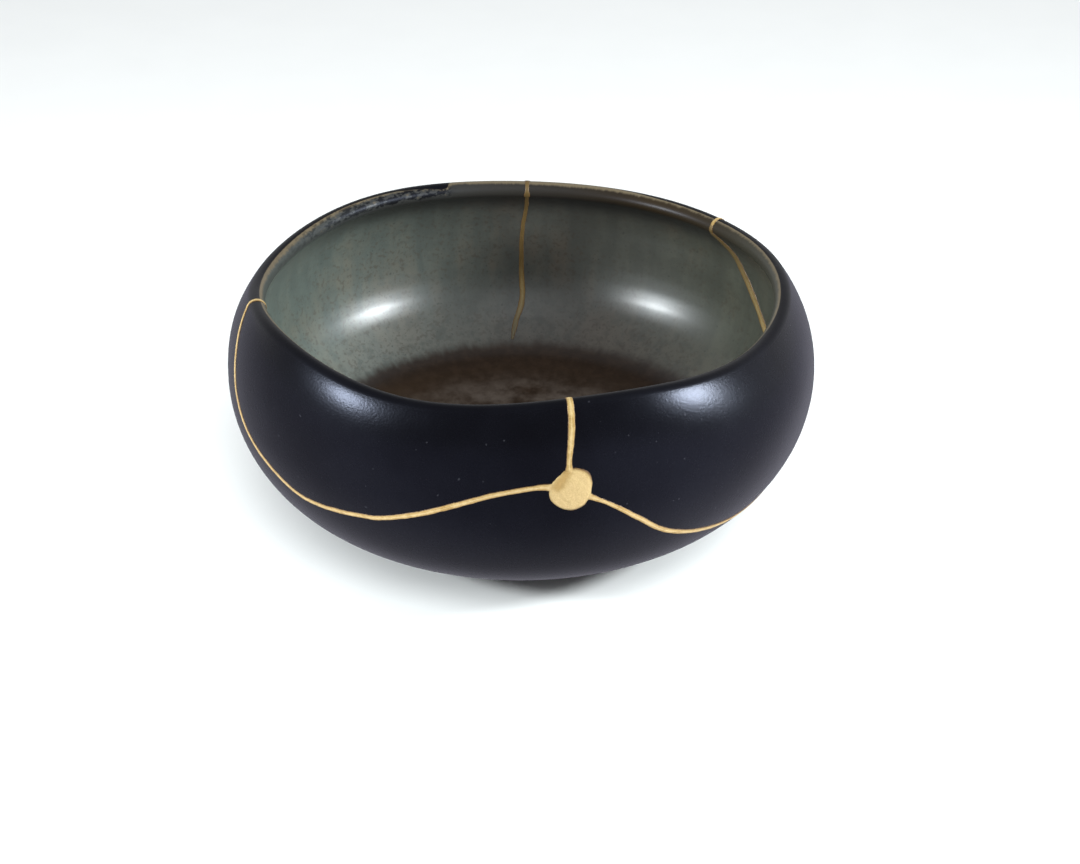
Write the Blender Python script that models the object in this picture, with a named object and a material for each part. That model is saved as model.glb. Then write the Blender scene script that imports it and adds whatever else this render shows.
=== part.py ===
"""Kintsugi bowl: black stoneware with a celadon inside, broken and rejoined with seams of gold lacquer.

Metres, +Z up. The bowl stands on its foot ring, whose centre is the origin, and -Y is the front,
where three cracks meet. Radii and heights of the turned wall are in millimetres. A place on the
wall is an azimuth, in degrees counterclockwise from +X, and the height of the outer wall there.
"""

import math
from collections import namedtuple

import bmesh
import bpy
from mathutils import Vector

MM = 0.001

# Lip: a full round as thick as the wall. Its wall leans in by LIP_LEAN degrees.
LIP_RADIUS = 2.6
LIP_CENTRE_RADIUS = 71.8
LIP_CENTRE_HEIGHT = 62.3
LIP_LEAN = 33.5

# One face of the wall: its widest place, the base that it curves down to, the turn on the lip's
# round where it ends, and how round it is below and above the widest place.
Face = namedtuple("Face", "radius height base_radius base_height lip_turn below above")
OUTSIDE = Face(80.0, 41.7, 43.2, 4.2, LIP_LEAN, 1.97, 2.42)
INSIDE = Face(74.2, 45.0, 0.0, 7.4, 180.0 + LIP_LEAN, 2.88, 2.3)

# Foot ring, with a shallow recess inside it.
FOOT_OUTER_RADIUS = 40.8
FOOT_INNER_RADIUS = 35.6
FOOT_CHAMFER = 0.6
RECESS_RADIUS = 34.2
RECESS_DEPTH = 3.0

# Hand-thrown unevenness of the lip, which rises and spreads in waves: (waves per turn, how far,
# azimuth of a crest in degrees).
LIP_RISES = ((1, 2.84, -121.0), (2, 0.76, -86.0), (4, 1.0, 24.0), (5, 0.62, -6.0))
LIP_SPREADS = ((2, 1.16, 59.0), (3, 0.78, 37.0))

# Cracks, as the places (azimuth, height) that they pass. They rise to the lip or end in the wall.
LIP_EDGE = LIP_CENTRE_HEIGHT + LIP_RADIUS * math.sin(math.radians(LIP_LEAN))
IMPACT = (-80.8, 46.5)
FRONT_CRACK = (IMPACT, (-81.0, 52.5), (-80.3, 59.2), (-80.8, LIP_EDGE))
LEFT_CRACK = (
    IMPACT, (-86.0, 47.5), (-92.0, 46.4), (-97.0, 44.6), (-103.0, 41.3), (-109.0, 37.7),
    (-117.0, 33.7), (-122.0, 32.4), (-130.7, 30.6), (-137.3, 30.3), (-144.8, 33.0), (-154.2, 38.1),
    (-160.4, 44.6), (-163.3, 50.0), (-165.9, 55.6), (-170.5, LIP_EDGE),
)
RIGHT_CRACK = (
    IMPACT, (-74.0, 42.0), (-68.0, 35.9), (-62.0, 29.3), (-56.0, 25.2), (-49.3, 22.3),
    (-41.8, 20.0), (-33.0, 18.5), (-22.0, 18.6), (-11.0, 20.6), (0.0, 23.8), (11.0, 28.4),
    (18.0, 32.6), (22.2, 36.4), (27.2, 43.0), (31.8, 49.7), (35.3, 57.0), (40.8, LIP_EDGE),
)
BACK_CRACK = (
    (92.9, 11.6), (91.6, 17.0), (90.4, 20.8), (90.1, 24.4), (90.3, 31.7), (90.2, 45.0),
    (89.2, 56.5), (88.9, LIP_EDGE),
)

# Gold lacquer: the seams' widths, the round fill at the impact, and how proud of the glaze it is.
FRONT_WIDTH = 1.9
SIDE_WIDTH = 1.5
BACK_WIDTH = 1.8
IMPACT_RADIUS = 5.7
IMPACT_UNEVENNESS = 0.05
GOLD_PROUD = 0.2
JOINT_GAP = 0.3

# The cracks run square through the wall. A cutter reaches this far past the outer face, in from
# it, and on above the lip.
CUT_OUTWARDS = 3.0
CUT_INWARDS = 14.0
CUT_ABOVE_LIP = 5.0

# Steps of the mesh.
AZIMUTH_STEPS = 72
BELOW_STEPS = 10
ABOVE_STEPS = 4
LIP_STEPS = 6
ROUTE_STEPS = 2
IMPACT_SIDES = 24
MERGE_DISTANCE = 0.02 * MM


def remove_all_objects():
    """Empty the scene."""
    for old in list(bpy.data.objects):
        bpy.data.objects.remove(old, do_unlink=True)


def make_material(name, color, metallic, roughness):
    """Return a Principled material."""
    material = bpy.data.materials.new(name)
    material.use_nodes = True
    shader = material.node_tree.nodes["Principled BSDF"]
    shader.inputs["Base Color"].default_value = (*color, 1.0)
    shader.inputs["Metallic"].default_value = metallic
    shader.inputs["Roughness"].default_value = roughness
    material.diffuse_color = (*color, 1.0)
    return material


def lip_point(turn):
    """Return radius and height on the lip's round, where 0 faces outwards and 90 is the crest."""
    angle = math.radians(turn)
    radius = LIP_CENTRE_RADIUS + LIP_RADIUS * math.cos(angle)
    height = LIP_CENTRE_HEIGHT + LIP_RADIUS * math.sin(angle)
    return radius, height


def face_radius(face, height):
    """Return the radius of one face of the wall at a height between its base and the lip."""
    if height < face.height:
        drop = (face.height - height) / (face.height - face.base_height)
        share = max(1.0 - drop ** face.below, 0.0) ** (1.0 / face.below)
        return face.base_radius + (face.radius - face.base_radius) * share
    edge_radius, edge_height = lip_point(face.lip_turn)
    rise = (height - face.height) / (edge_height - face.height)
    return face.radius - (face.radius - edge_radius) * rise ** face.above


def face_profile(face):
    """Return one face of the wall as (radius, height) points, from its base up to the lip."""
    heights = []
    for step in range(BELOW_STEPS):
        turn = 0.5 * math.pi * (1.0 - step / BELOW_STEPS)
        drop = math.sin(turn) ** (2.0 / face.below)
        heights.append(face.height - (face.height - face.base_height) * drop)
    edge_height = lip_point(face.lip_turn)[1]
    for step in range(ABOVE_STEPS):
        heights.append(face.height + (edge_height - face.height) * step / ABOVE_STEPS)
    return [(face_radius(face, height), height) for height in heights]


def bowl_profile():
    """Return the turned outline, from the middle of the floor over the lip to the middle below."""
    lip = []
    for step in range(LIP_STEPS + 1):
        lip.append(lip_point(INSIDE.lip_turn - 180.0 * step / LIP_STEPS))
    foot = [
        (FOOT_OUTER_RADIUS, FOOT_CHAMFER),
        (FOOT_OUTER_RADIUS - FOOT_CHAMFER, 0.0),
        (FOOT_INNER_RADIUS, 0.0),
        (RECESS_RADIUS, RECESS_DEPTH),
        (0.0, RECESS_DEPTH),
    ]
    return face_profile(INSIDE) + lip + face_profile(OUTSIDE)[::-1] + foot


def wave(waves, azimuth):
    """Return the sum of the lip's waves at an azimuth in radians."""
    total = 0.0
    for count, reach, crest in waves:
        total += reach * math.cos(count * (azimuth - math.radians(crest)))
    return total


def uneven(point):
    """Return a turned point, in millimetres, moved as the lip is; nothing moves in the lower wall."""
    rise = (point.z - OUTSIDE.height) / (LIP_CENTRE_HEIGHT + LIP_RADIUS - OUTSIDE.height)
    rise = min(max(rise, 0.0), 1.0)
    fade = rise * rise * (3.0 - 2.0 * rise)
    azimuth = math.atan2(point.y, point.x)
    spread = fade * wave(LIP_SPREADS, azimuth)
    lift = fade * wave(LIP_RISES, azimuth)
    return point + Vector((spread * math.cos(azimuth), spread * math.sin(azimuth), lift))


def wall_point(azimuth, height, outwards):
    """Return the point that stands off the outer face, square to it, by a distance outwards.

    Above the lip's edge the face goes on straight, at the lean that it has there.
    """
    edge_radius, edge_height = lip_point(LIP_LEAN)
    if height < edge_height:
        reach = 0.01
        slope = (face_radius(OUTSIDE, height + reach) - face_radius(OUTSIDE, height)) / reach
        radius = face_radius(OUTSIDE, height)
    else:
        slope = -math.tan(math.radians(LIP_LEAN))
        radius = edge_radius + (height - edge_height) * slope
    normal = Vector((1.0, -slope)).normalized()
    radius += normal.x * outwards
    height += normal.y * outwards
    turn = math.radians(azimuth)
    return uneven(Vector((radius * math.cos(turn), radius * math.sin(turn), height))) * MM


def smooth_route(places):
    """Return a smooth run of places through the given ones (a Catmull-Rom curve)."""
    keys = [Vector(place) for place in places]
    keys = [2.0 * keys[0] - keys[1]] + keys + [2.0 * keys[-1] - keys[-2]]
    route = []
    for before, start, end, after in zip(keys, keys[1:], keys[2:], keys[3:]):
        for step in range(ROUTE_STEPS):
            t = step / ROUTE_STEPS
            bend = 2.0 * before - 5.0 * start + 4.0 * end - after
            twist = 3.0 * start - before - 3.0 * end + after
            route.append(0.5 * (2.0 * start + (end - before) * t + bend * t ** 2 + twist * t ** 3))
    route.append(keys[-2])
    return route


def new_object(name, mesh, material=None):
    """Return a linked object made from a bmesh, with its faces turned outwards."""
    bmesh.ops.remove_doubles(mesh, verts=mesh.verts, dist=MERGE_DISTANCE)
    bmesh.ops.recalc_face_normals(mesh, faces=mesh.faces)
    data = bpy.data.meshes.new(name)
    mesh.to_mesh(data)
    mesh.free()
    part = bpy.data.objects.new(name, data)
    if material is not None:
        part.data.materials.append(material)
    bpy.context.collection.objects.link(part)
    return part


def new_cutter(name, mesh):
    """Return a cutter made from a bmesh, in flat triangles, which cut cleanly."""
    bmesh.ops.triangulate(mesh, faces=mesh.faces)
    return new_object(name, mesh)


def turn_bowl(name, material, swell=0.0):
    """Turn the whole unbroken bowl, its surface moved outwards by a swell in millimetres."""
    mesh = bmesh.new()
    verts = [mesh.verts.new((radius, 0.0, height)) for radius, height in bowl_profile()]
    edges = [mesh.edges.new(pair) for pair in zip(verts, verts[1:])]
    bmesh.ops.spin(
        mesh, geom=verts + edges, cent=(0.0, 0.0, 0.0), axis=(0.0, 0.0, 1.0),
        angle=math.tau, steps=AZIMUTH_STEPS, use_merge=True,
    )
    for vert in mesh.verts:
        vert.co = uneven(vert.co) * MM
    bmesh.ops.remove_doubles(mesh, verts=mesh.verts, dist=MERGE_DISTANCE)
    bmesh.ops.recalc_face_normals(mesh, faces=mesh.faces)
    mesh.normal_update()
    moves = [vert.normal * swell * MM for vert in mesh.verts]
    for vert, move in zip(mesh.verts, moves):
        vert.co += move
    return new_object(name, mesh, material)


def crack_cutter(name, places, width):
    """Make a band that follows a crack through the wall, square to the outer face."""
    route = smooth_route(places)
    if places[-1][1] == LIP_EDGE:
        route.append(Vector((places[-1][0], LIP_EDGE + CUT_ABOVE_LIP)))
    mesh = bmesh.new()
    rings = []
    for index, (azimuth, height) in enumerate(route):
        before = wall_point(*route[max(index - 1, 0)], 0.0)
        after = wall_point(*route[min(index + 1, len(route) - 1)], 0.0)
        outer = wall_point(azimuth, height, CUT_OUTWARDS)
        inner = wall_point(azimuth, height, -CUT_INWARDS)
        side = (after - before).cross(outer - inner).normalized() * (0.5 * width * MM)
        corners = (outer + side, outer - side, inner - side, inner + side)
        rings.append([mesh.verts.new(corner) for corner in corners])
    for ring, following in zip(rings, rings[1:]):
        for side in range(4):
            after = (side + 1) % 4
            mesh.faces.new((ring[side], ring[after], following[after], following[side]))
    mesh.faces.new(rings[0])
    mesh.faces.new(rings[-1])
    return new_cutter(name, mesh)


def impact_cutter(name, radius):
    """Make the slightly uneven round plug where the three cracks meet, square through the wall."""
    outer = wall_point(*IMPACT, CUT_OUTWARDS)
    inner = wall_point(*IMPACT, -CUT_INWARDS)
    axis = (outer - inner).normalized()
    across = Vector((0.0, 0.0, 1.0)).cross(axis).normalized()
    upwards = axis.cross(across)
    mesh = bmesh.new()
    ends = ([], [])
    for side in range(IMPACT_SIDES):
        turn = math.tau * side / IMPACT_SIDES
        reach = radius * (1.0 + IMPACT_UNEVENNESS * math.cos(3.0 * turn - 1.2)) * MM
        spoke = (across * math.cos(turn) + upwards * math.sin(turn)) * reach
        ends[0].append(mesh.verts.new(outer + spoke))
        ends[1].append(mesh.verts.new(inner + spoke))
    for side in range(IMPACT_SIDES):
        after = (side + 1) % IMPACT_SIDES
        mesh.faces.new((ends[0][side], ends[0][after], ends[1][after], ends[1][side]))
    mesh.faces.new(ends[0])
    mesh.faces.new(ends[1])
    return new_cutter(name, mesh)


def front_network(extra):
    """Make the cutters of the three cracks that meet at the impact, wider all round by an extra."""
    return [
        impact_cutter("impact_cutter", IMPACT_RADIUS + extra),
        crack_cutter("front_cutter", FRONT_CRACK, FRONT_WIDTH + 2.0 * extra),
        crack_cutter("left_cutter", LEFT_CRACK, SIDE_WIDTH + 2.0 * extra),
        crack_cutter("right_cutter", RIGHT_CRACK, SIDE_WIDTH + 2.0 * extra),
    ]


def combine(target, tool, operation):
    """Cut, join or clip the target with the tool, which is used up."""
    modifier = target.modifiers.new("combine", "BOOLEAN")
    modifier.operation = operation
    modifier.solver = "EXACT"
    modifier.object = tool
    evaluated = target.evaluated_get(bpy.context.evaluated_depsgraph_get())
    data = bpy.data.meshes.new_from_object(evaluated)
    target.modifiers.clear()
    target.data = data
    bpy.data.objects.remove(tool, do_unlink=True)


def break_bowl(glaze):
    """Break the bowl along its cracks and return its pieces: the body and the two sherds."""
    bowl = turn_bowl("bowl_body", glaze)
    for cutter in front_network(JOINT_GAP):
        combine(bowl, cutter, "DIFFERENCE")
    combine(bowl, crack_cutter("back_cutter", BACK_CRACK, BACK_WIDTH + 2.0 * JOINT_GAP), "DIFFERENCE")
    bpy.context.view_layer.objects.active = bowl
    bowl.select_set(True)
    bpy.ops.mesh.separate(type="LOOSE")
    pieces = sorted(bpy.context.selected_objects, key=lambda piece: len(piece.data.vertices))
    body = pieces.pop()
    sherds = sorted(pieces, key=lambda piece: sum(corner[0] for corner in piece.bound_box))
    body.name = "bowl_body"
    for sherd, name in zip(sherds, ("left_sherd", "right_sherd")):
        sherd.name = name
    return [body] + sherds


def lay_gold(gold):
    """Fill the cracks with gold lacquer that stands a little proud of both faces of the wall."""
    front = turn_bowl("gold_seam_front", gold, GOLD_PROUD)
    network, *branches = front_network(0.0)
    for branch in branches:
        combine(network, branch, "UNION")
    combine(front, network, "INTERSECT")
    back = turn_bowl("gold_seam_back", gold, GOLD_PROUD)
    combine(back, crack_cutter("back_cutter", BACK_CRACK, BACK_WIDTH), "INTERSECT")
    return [front, back]


def main():
    """Build the bowl."""
    remove_all_objects()
    glaze = make_material("black_glaze", (0.012, 0.012, 0.016), 0.0, 0.35)
    gold = make_material("gold_lacquer", (0.78, 0.52, 0.2), 1.0, 0.4)
    parts = break_bowl(glaze) + lay_gold(gold)
    for part in parts:
        part.data.name = part.name


main()
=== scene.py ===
"""Kintsugi bowl for close views: black outside, celadon inside, and rejoined with gold lacquer.

Everything is in metres and in the frame's own axes: +Z up, -Y the front, and the centre of the
foot ring at the origin. Sizes of the pot are in millimetres, as its maker would give them. A place
on the wall is an azimuth, in degrees counterclockwise from +X, with a run: the distance along the
turned section from the crest of the lip, more than 0 inside the bowl and less than 0 outside it.
"""

import logging
import math
from dataclasses import dataclass, field
from enum import Enum
from typing import Any, Callable, Sequence

import bmesh
import bpy
import numpy as np
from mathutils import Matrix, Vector, kdtree, noise


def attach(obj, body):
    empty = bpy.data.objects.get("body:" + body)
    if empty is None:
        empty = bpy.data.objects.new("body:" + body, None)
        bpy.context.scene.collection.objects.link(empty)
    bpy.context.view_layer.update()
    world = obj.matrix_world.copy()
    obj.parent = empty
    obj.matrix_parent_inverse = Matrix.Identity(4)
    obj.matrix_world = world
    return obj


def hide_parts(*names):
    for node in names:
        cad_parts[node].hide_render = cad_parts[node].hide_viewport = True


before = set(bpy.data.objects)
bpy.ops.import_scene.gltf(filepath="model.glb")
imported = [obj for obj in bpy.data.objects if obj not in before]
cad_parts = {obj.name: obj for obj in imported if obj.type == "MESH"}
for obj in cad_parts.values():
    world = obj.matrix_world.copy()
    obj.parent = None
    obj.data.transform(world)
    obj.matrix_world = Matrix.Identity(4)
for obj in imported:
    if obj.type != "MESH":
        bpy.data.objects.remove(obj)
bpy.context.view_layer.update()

LOG = logging.getLogger("kintsugi_bowl")
MM = 0.001
GUIDE_ATTRIBUTES = (
    "turn", "reach", "rise", "run",
    "around", "centre", "upright", "sideways", "breadth", "root", "swell", "edge",
)
Colour = tuple[float, float, float]
Place = tuple[float, float]


class Slot(Enum):
    """Material slots of the part."""

    GLAZE = "glazed_stoneware"
    GOLD = "gold_lacquer"


class Node(Enum):
    """Solids of the CAD model that the pieces stand for."""

    BODY = "bowl_body"
    LEFT_SHERD = "left_sherd"
    RIGHT_SHERD = "right_sherd"
    FRONT_SEAM = "gold_seam_front"
    BACK_SEAM = "gold_seam_back"


# ---- Node trees, written as Python expressions ----


def arithmetic(operation: str, swapped: bool = False) -> Callable[["Wire", Any], "Wire"]:
    """Return the method of a wire that adds one kind of Math node.

    Args:
        operation: What the node does.
        swapped: Whether the wire is the second operand.

    Returns:
        The method, which takes the other operand.
    """

    def method(self: "Wire", other: Any) -> "Wire":
        """Return the node's result."""
        return self.net.maths(operation, *((other, self) if swapped else (self, other)))

    return method


class Wire:
    """A node's output that takes part in arithmetic."""

    def __init__(self, net: "Net", socket: Any) -> None:
        """Keep the socket and the net that it belongs to."""
        self.net = net
        self.socket = socket

    __add__ = __radd__ = arithmetic("ADD")
    __sub__ = arithmetic("SUBTRACT")
    __rsub__ = arithmetic("SUBTRACT", swapped=True)
    __mul__ = __rmul__ = arithmetic("MULTIPLY")
    __truediv__ = arithmetic("DIVIDE")

    def __neg__(self) -> "Wire":
        """Return -self."""
        return self * -1.0


class Net:
    """Adds nodes to one node tree."""

    def __init__(self, tree: bpy.types.NodeTree) -> None:
        """Keep the tree that the nodes go into."""
        self.tree = tree

    @staticmethod
    def _find(sockets: Any, key: Any) -> Any:
        """Return the socket with that index, identifier or name."""
        if isinstance(key, int):
            return sockets[key]
        for socket in sockets:
            if socket.identifier == key:
                return socket
        return sockets[key]

    def plug(self, node: Any, values: dict) -> None:
        """Give a node values or wires, by its sockets' indexes, identifiers or names."""
        for key, value in values.items():
            socket = self._find(node.inputs, key)
            if isinstance(value, Wire):
                self.tree.links.new(value.socket, socket)
            else:
                socket.default_value = value

    def node(self, kind: str, values: dict | None = None, **settings: Any) -> Any:
        """Add one node.

        Args:
            kind: The node's type.
            values: Values or wires, as for plug.
            settings: The node's properties, which are set first.

        Returns:
            The new node.
        """
        node = self.tree.nodes.new(kind)
        for name, value in settings.items():
            setattr(node, name, value)
        self.plug(node, values or {})
        return node

    def out(self, node: Any, key: Any = 0) -> Wire:
        """Return one output of a node as a wire."""
        return Wire(self, self._find(node.outputs, key))

    def add(self, kind: str, values: dict | None = None, result: Any = 0, **settings: Any) -> Wire:
        """Add one node, as node does, and return one of its outputs."""
        return self.out(self.node(kind, values, **settings), result)

    def maths(self, operation: str, *operands: Any) -> Wire:
        """Add a Math node and return its result."""
        return self.add("ShaderNodeMath", dict(enumerate(operands)), operation=operation)

    def vector(self, operation: str, *operands: Any, result: int = 0) -> Wire:
        """Add a Vector Math node and return its result, which is number 1 where it's no vector."""
        values = dict(enumerate(operands))
        return self.add("ShaderNodeVectorMath", values, result, operation=operation)

    def scaled(self, vector: Any, factor: Any) -> Wire:
        """Return a vector times a number."""
        values = {0: vector, "Scale": factor}
        return self.add("ShaderNodeVectorMath", values, operation="SCALE")

    def combined(self, x: Any, y: Any, z: Any) -> Wire:
        """Return the vector (x, y, z)."""
        return self.add("ShaderNodeCombineXYZ", {0: x, 1: y, 2: z})

    def parts(self, vector: Wire) -> list[Wire]:
        """Return a vector's three components."""
        node = self.node("ShaderNodeSeparateXYZ", {0: vector})
        return [self.out(node, index) for index in range(3)]

    def band(self, value: Wire, start: Any, end: Any) -> Wire:
        """Return 0 at the start, rising smoothly to 1 at the end, which may be the lower one."""
        values = {"Value": value, "From Min": start, "From Max": end}
        return self.add("ShaderNodeMapRange", values, interpolation_type="SMOOTHSTEP")

    def grain(
        self, vector: Wire, scale: Any, detail: float = 2.0, rough: float = 0.5, seed: Any = 0.0
    ) -> Wire:
        """Add a noise.

        Args:
            vector: Where it is read.
            scale: How fine it is.
            detail: Octaves above the first.
            rough: Share of each following octave.
            seed: Its fourth coordinate, fixed.

        Returns:
            The noise, about 0.5 on average.
        """
        values = {
            "Vector": vector, "W": seed, "Scale": scale, "Detail": detail, "Roughness": rough
        }
        return self.add("ShaderNodeTexNoise", values, noise_dimensions="4D")

    def tint(self, share: Any, first: Any, second: Any, blend: str = "MIX") -> Wire:
        """Mix two colours.

        Args:
            share: How much of the second there is.
            first: A colour or wire.
            second: A colour or wire.
            blend: The way that they mix.

        Returns:
            The mixed colour.
        """
        pair = [value if isinstance(value, Wire) else (*value, 1.0) for value in (first, second)]
        values = {"Factor_Float": share, "A_Color": pair[0], "B_Color": pair[1]}
        kinds = {"data_type": "RGBA", "blend_type": blend}
        return self.add("ShaderNodeMix", values, "Result_Color", **kinds)


class Paint(Net):
    """Writes one material round the shader that it starts with."""

    def __init__(self, name: str) -> None:
        """Start a material with that name, read in Object coordinates."""
        self.material = bpy.data.materials.new(name)
        self.material.use_nodes = True
        super().__init__(self.material.node_tree)
        self.place = self.add("ShaderNodeTexCoord", result="Object")

    def attribute(self, name: str) -> Wire:
        """Return a number kept at the mesh's points."""
        return self.add("ShaderNodeAttribute", result="Fac", attribute_name=name)

    def bump(self, height: Wire, strength: float, distance: float) -> Wire:
        """Return the normal that a relief gives, where a height of 1 is that distance in metres."""
        values = {"Strength": strength, "Distance": distance, "Height": height}
        return self.add("ShaderNodeBump", values)

    def done(self, values: dict) -> bpy.types.Material:
        """Give the shader its values and wires, by socket, and return the material."""
        self.plug(self.tree.nodes["Principled BSDF"], values)
        return self.material


class Recipe(Net):
    """A Geometry Nodes tree with named sizes that makes one kind of piece."""

    def __init__(self, name: str) -> None:
        """Start an empty tree."""
        super().__init__(bpy.data.node_groups.new(name, "GeometryNodeTree"))
        self.sockets: dict[str, str] = {}
        for way in ("INPUT", "OUTPUT"):
            self.tree.interface.new_socket(
                "Geometry", in_out=way, socket_type="NodeSocketGeometry"
            )
        self.source = self.tree.nodes.new("NodeGroupInput")
        self.result = self.tree.nodes.new("NodeGroupOutput")

    def size(self, name: str, kind: str = "Float") -> Wire:
        """Add a named input and return it."""
        item = self.tree.interface.new_socket(
            name, in_out="INPUT", socket_type=f"NodeSocket{kind}"
        )
        self.sockets[name] = item.identifier
        return self.out(self.source, item.identifier)

    def sizes(self, *names: str) -> list[Wire]:
        """Add named inputs and return them."""
        return [self.size(name) for name in names]

    def guide(self) -> Wire:
        """Return the guide's chain of edges as a curve."""
        return self.add("GeometryNodeMeshToCurve", {0: self.out(self.source)})

    def circle(self, count: Wire, radius: float, name: str) -> Wire:
        """Return a circle whose points keep their angle under that name."""
        values = {"Resolution": count, "Radius": radius}
        circle = self.add("GeometryNodeCurvePrimitiveCircle", values)
        return self.store(circle, name, self.add("GeometryNodeInputIndex") / count * math.tau)

    def read(self, *names: str, kind: str = "FLOAT") -> list[Wire]:
        """Return named attributes."""
        return [
            self.add("GeometryNodeInputNamedAttribute", {"Name": name}, "Attribute", data_type=kind)
            for name in names
        ]

    def store(self, geometry: Wire, name: str, value: Wire) -> Wire:
        """Return the geometry with a number kept at each of its points."""
        values = {"Geometry": geometry, "Name": name, "Value": value}
        kinds = {"data_type": "FLOAT", "domain": "POINT"}
        return self.add("GeometryNodeStoreNamedAttribute", values, **kinds)

    def moved(self, geometry: Wire, **where: Wire) -> Wire:
        """Return the geometry with its points put at a Position, or moved by an Offset."""
        return self.add("GeometryNodeSetPosition", {"Geometry": geometry, **where})

    def close(self, geometry: Wire, finish: bpy.types.Material) -> None:
        """End the tree in Realize Instances and Set Material."""
        real = self.add("GeometryNodeRealizeInstances", {"Geometry": geometry})
        values = {"Geometry": real, "Material": finish}
        self.plug(self.result, {0: self.add("GeometryNodeSetMaterial", values)})

    def make(
        self, guide: bpy.types.Object, name: str, sizes: dict[str, Any]
    ) -> bpy.types.Object:
        """Run the recipe on a guide, which is used up.

        Args:
            guide: The object whose mesh the recipe starts from.
            name: The new piece's name.
            sizes: A value for each named input.

        Returns:
            The piece, as a plain mesh with its faces outwards.
        """
        modifier = guide.modifiers.new(name, "NODES")
        modifier.node_group = self.tree
        for label, value in sizes.items():
            modifier[self.sockets[label]] = value
        mesh = bmesh.new()
        mesh.from_mesh(as_shown(guide))
        bpy.data.objects.remove(guide, do_unlink=True)
        bmesh.ops.recalc_face_normals(mesh, faces=mesh.faces)
        return mesh_object(name, mesh)


# ---- Meshes ----


def place_object(name: str, data: bpy.types.Mesh) -> bpy.types.Object:
    """Return a new object with that mesh, at the origin."""
    data.name = name
    piece = bpy.data.objects.new(name, data)
    bpy.context.collection.objects.link(piece)
    return piece


def mesh_object(name: str, mesh: bmesh.types.BMesh) -> bpy.types.Object:
    """Return an object made from a mesh, which is used up."""
    data = bpy.data.meshes.new(name)
    mesh.to_mesh(data)
    mesh.free()
    return place_object(name, data)


def as_shown(piece: bpy.types.Object) -> bpy.types.Mesh:
    """Return a new mesh of a piece with its modifiers applied."""
    evaluated = piece.evaluated_get(bpy.context.evaluated_depsgraph_get())
    return bpy.data.meshes.new_from_object(evaluated)


def polyline(
    name: str, points: np.ndarray, attributes: dict[str, np.ndarray]
) -> bpy.types.Object:
    """Make a guide for a recipe.

    Args:
        name: The guide's name.
        points: Its points in order, in metres.
        attributes: Numbers or vectors kept at its points.

    Returns:
        The guide, a chain of edges.
    """
    data = bpy.data.meshes.new(name)
    chain = [(index, index + 1) for index in range(len(points) - 1)]
    data.from_pydata([tuple(point) for point in points], chain, [])
    for label, values in attributes.items():
        flat = values.ndim == 1
        layer = data.attributes.new(label, "FLOAT" if flat else "FLOAT_VECTOR", "POINT")
        key = "value" if flat else "vector"
        layer.data.foreach_set(key, values.astype(np.float32).ravel())
    return place_object(name, data)


def points_of(data: bpy.types.Mesh) -> np.ndarray:
    """Return a mesh's points."""
    points = np.empty(len(data.vertices) * 3, dtype=np.float32)
    data.vertices.foreach_get("co", points)
    return points.reshape(-1, 3).astype(float)


def skin(name: str, rings: Sequence[np.ndarray], capped: bool) -> bpy.types.Object:
    """Join rings of points into one closed skin.

    Args:
        name: The skin's name.
        rings: Rings of the same count, each closed on itself, in metres.
        capped: Whether the end rings are faces and the skin is cut into triangles, or else the
            ends are fans round their middles.

    Returns:
        The skin, with its faces outwards.
    """
    mesh = bmesh.new()
    rows = [[mesh.verts.new(point) for point in ring] for ring in rings]
    count = len(rows[0])
    for row, following in zip(rows, rows[1:]):
        for side in range(count):
            after = (side + 1) % count
            mesh.faces.new((row[side], row[after], following[after], following[side]))
    for row, ring in ((rows[0], rings[0]), (rows[-1], rings[-1])):
        if capped:
            mesh.faces.new(row)
            continue
        middle = mesh.verts.new(np.mean(ring, axis=0))
        for side in range(count):
            mesh.faces.new((row[side], row[(side + 1) % count], middle))
    bmesh.ops.recalc_face_normals(mesh, faces=mesh.faces)
    if capped:
        bmesh.ops.triangulate(mesh, faces=mesh.faces)
    return mesh_object(name, mesh)


def combine(target: bpy.types.Object, tool: bpy.types.Object, operation: str) -> None:
    """Cut or join the target with the tool, which is used up."""
    modifier = target.modifiers.new("combine", "BOOLEAN")
    modifier.operation = operation
    modifier.solver = "EXACT"
    modifier.object = tool
    data = as_shown(target)
    target.modifiers.clear()
    data.name = target.data.name
    target.data = data
    bpy.data.objects.remove(tool, do_unlink=True)


def split_loose(piece: bpy.types.Object) -> list[bpy.types.Object]:
    """Separate a piece into its loose parts, the largest first."""
    bpy.ops.object.select_all(action="DESELECT")
    bpy.context.view_layer.objects.active = piece
    piece.select_set(True)
    bpy.ops.mesh.separate(type="LOOSE")
    parts = list(bpy.context.selected_objects)
    return sorted(parts, key=lambda part: len(part.data.vertices), reverse=True)


def dress(
    piece: bpy.types.Object, name: str, kept: str, values: Sequence[float],
    finish: bpy.types.Material, sharp_angle: float,
) -> None:
    """Make a finished piece ready for the frame.

    Args:
        piece: The piece, whose other numbers are dropped.
        name: Its new name.
        kept: The number kept at its points for the finish.
        values: That number at each point.
        finish: Its material.
        sharp_angle: The turn between faces, in degrees, from which an edge is sharp.
    """
    piece.name = name
    data = piece.data
    data.name = name
    for label in [layer.name for layer in data.attributes if layer.name in GUIDE_ATTRIBUTES]:
        data.attributes.remove(data.attributes[label])
    data.attributes.new(kept, "FLOAT", "POINT").data.foreach_set("value", values)
    data.materials.clear()
    data.materials.append(finish)
    data.shade_smooth()
    data.set_sharp_from_angle(angle=math.radians(sharp_angle))


# ---- The pot's shape ----


@dataclass(frozen=True)
class Face:
    """One face of the wall, in millimetres: its widest place, the base that it curves down to, the
    turn on the lip's round where it ends, and how round it is below and above the widest place.
    """

    radius: float
    height: float
    base_radius: float
    base_height: float
    lip_turn: float
    below: float
    above: float


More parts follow.
